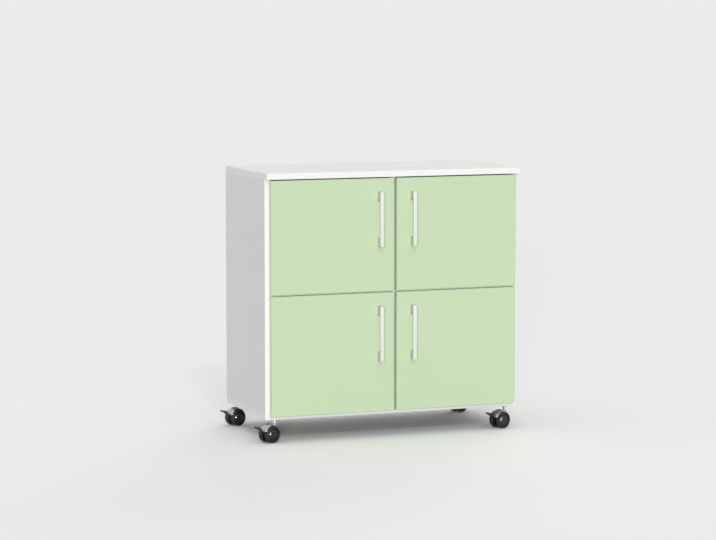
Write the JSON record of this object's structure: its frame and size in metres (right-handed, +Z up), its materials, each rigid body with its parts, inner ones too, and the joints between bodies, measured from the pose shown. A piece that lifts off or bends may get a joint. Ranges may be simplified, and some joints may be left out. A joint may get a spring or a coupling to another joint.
{
  "type": "bedside cabinet",
  "caption": "Low white bedside cabinet on braked twin-wheel castors, with pale green hinged doors, bow handles and a fixed shelf behind each door joint.",
  "frame": {"origin": "on the floor, under the middle of the carcass in plan", "axes": "+X along the width, +Y towards the back (the doors face -Y), +Z up"},
  "size_m": [0.8404, 0.421, 0.789],
  "materials": {
    "white_board": "white melamine facing, satin",
    "green_board": "pale green melamine facing, satin",
    "hardboard": "white lacquered hardboard, matt",
    "clear_bumper": "clear polyurethane, soft",
    "hinge_steel": "nickel plated",
    "handle_metal": "satin anodised",
    "castor_chrome": "chrome plated",
    "castor_hood": "silver grey, satin",
    "wheel_nylon": "black nylon, matt",
    "lever_nylon": "black nylon, matt"
  },
  "bodies": {
    "carcass": {"top_panel": "white_board", "bottom_panel": "white_board", "left_side_panel": "white_board", "right_side_panel": "white_board", "centre_divider": "white_board", "left_shelf": "white_board", "right_shelf": "white_board", "back_panel": "hardboard", "door_bumpers": "clear_bumper", "hinge_arms": "hinge_steel", "hinge_plates": "hinge_steel", "front_left_castor_plate": "castor_chrome", "front_right_castor_plate": "castor_chrome", "back_left_castor_plate": "castor_chrome", "back_right_castor_plate": "castor_chrome"},
    "upper_left_door_leaf": {"upper_left_door": "green_board", "upper_left_handle": "handle_metal", "upper_left_hinge_cups": "hinge_steel"},
    "upper_right_door_leaf": {"upper_right_door": "green_board", "upper_right_handle": "handle_metal", "upper_right_hinge_cups": "hinge_steel"},
    "lower_left_door_leaf": {"lower_left_door": "green_board", "lower_left_handle": "handle_metal", "lower_left_hinge_cups": "hinge_steel"},
    "lower_right_door_leaf": {"lower_right_door": "green_board", "lower_right_handle": "handle_metal", "lower_right_hinge_cups": "hinge_steel"},
    "front_left_castor": {"front_left_castor_housing": "castor_hood"},
    "front_left_near_wheel": {"front_left_castor_near_wheel": "wheel_nylon"},
    "front_left_far_wheel": {"front_left_castor_far_wheel": "wheel_nylon"},
    "front_left_brake_lever": {"front_left_castor_brake_lever": "lever_nylon"},
    "front_right_castor": {"front_right_castor_housing": "castor_hood"},
    "front_right_near_wheel": {"front_right_castor_near_wheel": "wheel_nylon"},
    "front_right_far_wheel": {"front_right_castor_far_wheel": "wheel_nylon"},
    "front_right_brake_lever": {"front_right_castor_brake_lever": "lever_nylon"},
    "back_left_castor": {"back_left_castor_housing": "castor_hood"},
    "back_left_near_wheel": {"back_left_castor_near_wheel": "wheel_nylon"},
    "back_left_far_wheel": {"back_left_castor_far_wheel": "wheel_nylon"},
    "back_left_brake_lever": {"back_left_castor_brake_lever": "lever_nylon"},
    "back_right_castor": {"back_right_castor_housing": "castor_hood"},
    "back_right_near_wheel": {"back_right_castor_near_wheel": "wheel_nylon"},
    "back_right_far_wheel": {"back_right_castor_far_wheel": "wheel_nylon"},
    "back_right_brake_lever": {"back_right_castor_brake_lever": "lever_nylon"}
  },
  "joints": [
    {"name": "upper_left_door_hinge", "type": "hinge", "parent": "carcass", "child": "upper_left_door_leaf", "pos_m": [-0.3798, -0.1965, 0.601], "axis": [0, 0, -1], "range_deg": [0, 95]},
    {"name": "upper_right_door_hinge", "type": "hinge", "parent": "carcass", "child": "upper_right_door_leaf", "pos_m": [0.3798, -0.1965, 0.601], "axis": [0, 0, 1], "range_deg": [0, 95]},
    {"name": "lower_left_door_hinge", "type": "hinge", "parent": "carcass", "child": "lower_left_door_leaf", "pos_m": [-0.3798, -0.1965, 0.253], "axis": [0, 0, -1], "range_deg": [0, 95]},
    {"name": "lower_right_door_hinge", "type": "hinge", "parent": "carcass", "child": "lower_right_door_leaf", "pos_m": [0.3798, -0.1965, 0.253], "axis": [0, 0, 1], "range_deg": [0, 95]},
    {"name": "front_left_castor_swivel", "type": "hinge", "parent": "carcass", "child": "front_left_castor", "pos_m": [-0.368, -0.174, 0.05], "axis": [0, 0, 1], "continuous": true},
    {"name": "front_left_near_wheel_spin", "type": "hinge", "parent": "front_left_castor", "child": "front_left_near_wheel", "pos_m": [-0.38718, -0.18254, 0.025], "axis": [0.4067, -0.9135, 0], "continuous": true},
    {"name": "front_left_far_wheel_spin", "type": "hinge", "parent": "front_left_castor", "child": "front_left_far_wheel", "pos_m": [-0.38718, -0.18254, 0.025], "axis": [0.4067, -0.9135, 0], "continuous": true},
    {"name": "front_left_brake_lever_press", "type": "hinge", "parent": "front_left_castor", "child": "front_left_brake_lever", "pos_m": [-0.40454, -0.19027, 0.034], "axis": [0.4067, -0.9135, 0], "range_deg": [0, 12]},
    {"name": "front_right_castor_swivel", "type": "hinge", "parent": "carcass", "child": "front_right_castor", "pos_m": [0.368, -0.174, 0.05], "axis": [0, 0, 1], "continuous": true},
    {"name": "front_right_near_wheel_spin", "type": "hinge", "parent": "front_right_castor", "child": "front_right_near_wheel", "pos_m": [0.34882, -0.18254, 0.025], "axis": [0.4067, -0.9135, 0], "continuous": true},
    {"name": "front_right_far_wheel_spin", "type": "hinge", "parent": "front_right_castor", "child": "front_right_far_wheel", "pos_m": [0.34882, -0.18254, 0.025], "axis": [0.4067, -0.9135, 0], "continuous": true},
    {"name": "front_right_brake_lever_press", "type": "hinge", "parent": "front_right_castor", "child": "front_right_brake_lever", "pos_m": [0.33146, -0.19027, 0.034], "axis": [0.4067, -0.9135, 0], "range_deg": [0, 12]},
    {"name": "back_left_castor_swivel", "type": "hinge", "parent": "carcass", "child": "back_left_castor", "pos_m": [-0.368, 0.15, 0.05], "axis": [0, 0, 1], "continuous": true},
    {"name": "back_left_near_wheel_spin", "type": "hinge", "parent": "back_left_castor", "child": "back_left_near_wheel", "pos_m": [-0.38718, 0.14146, 0.025], "axis": [0.4067, -0.9135, 0], "continuous": true},
    {"name": "back_left_far_wheel_spin", "type": "hinge", "parent": "back_left_castor", "child": "back_left_far_wheel", "pos_m": [-0.38718, 0.14146, 0.025], "axis": [0.4067, -0.9135, 0], "continuous": true},
    {"name": "back_left_brake_lever_press", "type": "hinge", "parent": "back_left_castor", "child": "back_left_brake_lever", "pos_m": [-0.40454, 0.13373, 0.034], "axis": [0.4067, -0.9135, 0], "range_deg": [0, 12]},
    {"name": "back_right_castor_swivel", "type": "hinge", "parent": "carcass", "child": "back_right_castor", "pos_m": [0.368, 0.15, 0.05], "axis": [0, 0, 1], "continuous": true},
    {"name": "back_right_near_wheel_spin", "type": "hinge", "parent": "back_right_castor", "child": "back_right_near_wheel", "pos_m": [0.34882, 0.14146, 0.025], "axis": [0.4067, -0.9135, 0], "continuous": true},
    {"name": "back_right_far_wheel_spin", "type": "hinge", "parent": "back_right_castor", "child": "back_right_far_wheel", "pos_m": [0.34882, 0.14146, 0.025], "axis": [0.4067, -0.9135, 0], "continuous": true},
    {"name": "back_right_brake_lever_press", "type": "hinge", "parent": "back_right_castor", "child": "back_right_brake_lever", "pos_m": [0.33146, 0.13373, 0.034], "axis": [0.4067, -0.9135, 0], "range_deg": [0, 12]}
  ]
}
